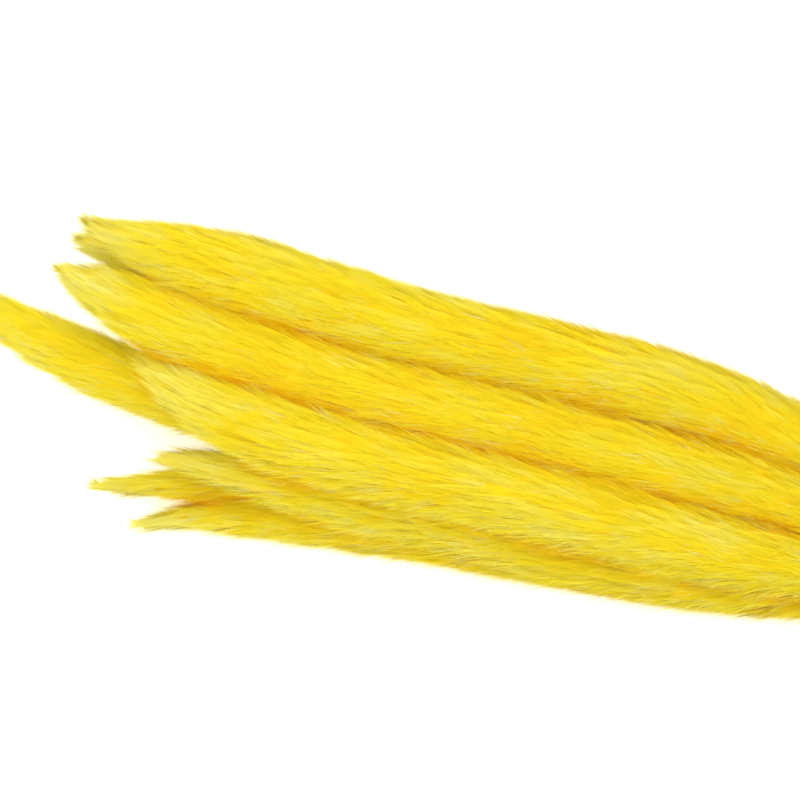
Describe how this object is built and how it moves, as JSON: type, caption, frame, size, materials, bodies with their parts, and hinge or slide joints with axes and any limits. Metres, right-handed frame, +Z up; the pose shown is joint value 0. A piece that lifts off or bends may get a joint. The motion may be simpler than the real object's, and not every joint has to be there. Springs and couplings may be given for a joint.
{
  "type": "bundle of dried reed",
  "caption": "Tied bundle of dried, dyed reeds with long soft yellow plumes on bare stems, lying on a surface.",
  "frame": {"origin": "middle of the underside of the box round the bundle, on the surface that it lies on", "axes": "+X along the bundle from the plume tips to the cut ends of the stems, +Z up, +Y across the bundle"},
  "size_m": [0.6326, 0.1194, 0.0771],
  "materials": {
    "dyed_plume": "soft silky fibres, dyed lemon to golden yellow",
    "dyed_stem": "dry straw with a faint gloss, tinted by the dye",
    "jute_twine": "matt, hairy, two-ply twisted"
  },
  "bodies": {
    "root": {"reed_01_plume": "dyed_plume", "reed_01_stem": "dyed_stem", "reed_02_plume": "dyed_plume", "reed_02_stem": "dyed_stem", "reed_03_plume": "dyed_plume", "reed_03_stem": "dyed_stem", "reed_04_plume": "dyed_plume", "reed_04_stem": "dyed_stem", "reed_05_plume": "dyed_plume", "reed_05_stem": "dyed_stem", "reed_06_plume": "dyed_plume", "reed_06_stem": "dyed_stem", "reed_07_plume": "dyed_plume", "reed_07_stem": "dyed_stem", "reed_08_plume": "dyed_plume", "reed_08_stem": "dyed_stem", "reed_09_plume": "dyed_plume", "reed_09_stem": "dyed_stem", "reed_10_plume": "dyed_plume", "reed_10_stem": "dyed_stem", "twine_wraps": "jute_twine", "twine_knot": "jute_twine"}
  },
  "joints": []
}
